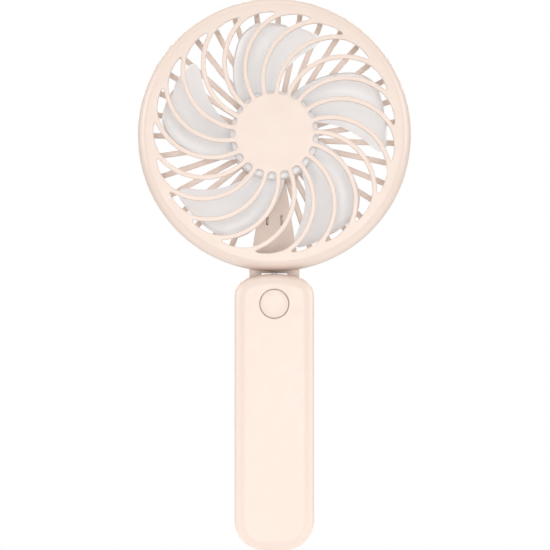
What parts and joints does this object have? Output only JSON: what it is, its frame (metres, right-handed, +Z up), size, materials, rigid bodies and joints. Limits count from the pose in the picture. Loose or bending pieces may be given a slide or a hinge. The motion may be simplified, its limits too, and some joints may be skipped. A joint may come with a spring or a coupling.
{
  "type": "handheld electric fan",
  "caption": "Pocket fan with a round caged head that tilts back on a slim grip, curved front spokes, a spinning impeller and one push button.",
  "frame": {"origin": "middle of the grip, on the grip's long axis, where the hand holds it", "axes": "+Z up along the grip towards the fan head, -Y the way the air blows and the button faces, +X to the right as the front is seen"},
  "size_m": [0.105, 0.0365, 0.2112],
  "materials": {
    "shell_pink": "fine satin moulded plastic, pale blush pink",
    "blade_grey": "smooth satin moulded plastic, light grey",
    "steel": "bright plated steel",
    "motor_steel": "dull zinc plate",
    "copper": "enamelled copper wire, wound",
    "magnet": "dull bonded ferrite",
    "board_green": "glass-fibre board with green solder mask",
    "black_plastic": "matte moulded plastic",
    "cell_wrap": "shrink wrap",
    "nickel": "satin nickel",
    "red_lead": "silicone insulation",
    "black_lead": "silicone insulation"
  },
  "bodies": {
    "handle": {"handle_front_shell": "shell_pink", "handle_rear_shell": "shell_pink", "hinge_base": "shell_pink", "hinge_pin_left": "steel", "hinge_pin_right": "steel", "friction_washer_left": "nickel", "friction_washer_right": "nickel", "shell_screw_1": "steel", "shell_screw_2": "steel", "shell_screw_3": "steel", "shell_screw_4": "steel", "battery_cell": "cell_wrap", "cell_tab_top": "nickel", "cell_tab_bottom": "nickel", "main_board": "board_green", "board_screw_1": "steel", "board_screw_2": "steel", "switch_base": "black_plastic", "power_chip": "black_plastic", "inductor": "magnet", "charge_board": "board_green", "charge_socket": "nickel", "battery_lead_top": "red_lead", "battery_lead_bottom": "black_lead", "charge_lead": "red_lead", "motor_lead_lower_red": "red_lead", "motor_lead_lower_black": "black_lead"},
    "button": {"button_cap": "shell_pink"},
    "plunger": {"switch_plunger": "black_plastic"},
    "head": {"front_grille": "shell_pink", "rear_housing": "shell_pink", "neck_cover": "shell_pink", "rear_hub_cap": "shell_pink", "motor_base": "motor_steel", "motor_screw_1": "steel", "motor_screw_2": "steel", "motor_screw_3": "steel", "bearing_front": "steel", "bearing_rear": "steel", "stator_core": "motor_steel", "coil_1": "copper", "coil_2": "copper", "coil_3": "copper", "coil_4": "copper", "coil_5": "copper", "coil_6": "copper", "motor_board": "board_green", "motor_lead_upper_red": "red_lead", "motor_lead_upper_black": "black_lead"},
    "rotor": {"impeller": "blade_grey", "rotor_cup": "motor_steel", "magnet_ring": "magnet", "motor_shaft": "steel", "shaft_clip": "steel"}
  },
  "joints": [
    {"name": "head_tilt", "type": "hinge", "parent": "handle", "child": "head", "pos_m": [0, 0.0077, 0.0473], "axis": [-1, 0, 0], "range_deg": [0, 90]},
    {"name": "impeller_spin", "type": "hinge", "parent": "head", "child": "rotor", "pos_m": [0, 0, 0.10615], "axis": [0, -1, 0], "continuous": true},
    {"name": "button_press", "type": "slide", "parent": "handle", "child": "button", "axis": [0, 1, 0], "range_m": [0, 0.0005], "stiffness_N_per_m": 2500, "springref_m": -0.0002},
    {"name": "switch_press", "type": "slide", "parent": "handle", "child": "plunger", "axis": [0, 1, 0], "range_m": [0, 0.0005]}
  ],
  "couplings": [
    {"joint": "switch_press", "follows": "button_press", "ratio": 1}
  ]
}
